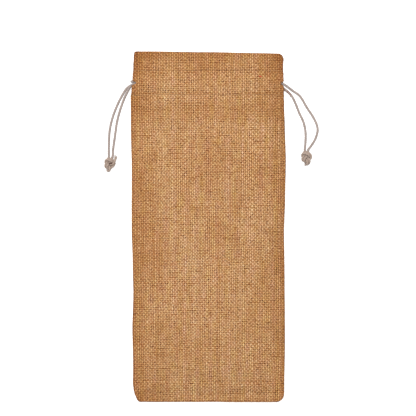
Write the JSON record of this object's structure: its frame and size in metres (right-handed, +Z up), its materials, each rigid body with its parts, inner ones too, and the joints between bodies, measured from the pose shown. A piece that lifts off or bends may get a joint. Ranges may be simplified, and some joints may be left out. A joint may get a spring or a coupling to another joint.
{
  "type": "wine gift bag",
  "caption": "Flat jute bottle bag with an open mouth, a stitched cord channel and cotton drawcords, each knotted, that pull out at both sides.",
  "frame": {"origin": "on the surface that the bag lies on, under the middle of the bag", "axes": "+X across the bag to the right, +Y along the bag from its bottom seam to its mouth, +Z up out of its front"},
  "size_m": [0.2148, 0.351, 0.0161],
  "materials": {
    "jute": "coarse plain weave, matt",
    "cotton_cord": "twisted off-white cotton, matt",
    "sewing_thread": "spun thread in the jute's colour"
  },
  "bodies": {
    "bag": {"front_panel": "jute", "back_panel": "jute", "front_hem_facing": "jute", "back_hem_facing": "jute", "left_seam_allowance": "jute", "right_seam_allowance": "jute", "left_heading_allowance": "jute", "right_heading_allowance": "jute", "bottom_seam_allowance": "jute", "left_seam_thread": "sewing_thread", "right_seam_thread": "sewing_thread", "left_heading_seam_thread": "sewing_thread", "right_heading_seam_thread": "sewing_thread", "bottom_seam_thread": "sewing_thread", "left_overlock": "sewing_thread", "right_overlock": "sewing_thread", "bottom_overlock": "sewing_thread", "front_upper_channel_stitch": "sewing_thread", "front_lower_channel_stitch": "sewing_thread", "back_upper_channel_stitch": "sewing_thread", "back_lower_channel_stitch": "sewing_thread", "left_upper_bar_tack": "sewing_thread", "left_lower_bar_tack": "sewing_thread", "right_upper_bar_tack": "sewing_thread", "right_lower_bar_tack": "sewing_thread"},
    "left_cord": {"left_drawcord": "cotton_cord", "left_knot": "cotton_cord"},
    "right_cord": {"right_drawcord": "cotton_cord", "right_knot": "cotton_cord"}
  },
  "joints": [
    {"name": "left_drawcord_pull", "type": "slide", "parent": "bag", "child": "left_cord", "axis": [-1, 0, 0], "range_m": [0, 0.003]},
    {"name": "right_drawcord_pull", "type": "slide", "parent": "bag", "child": "right_cord", "axis": [1, 0, 0], "range_m": [0, 0.003]}
  ]
}
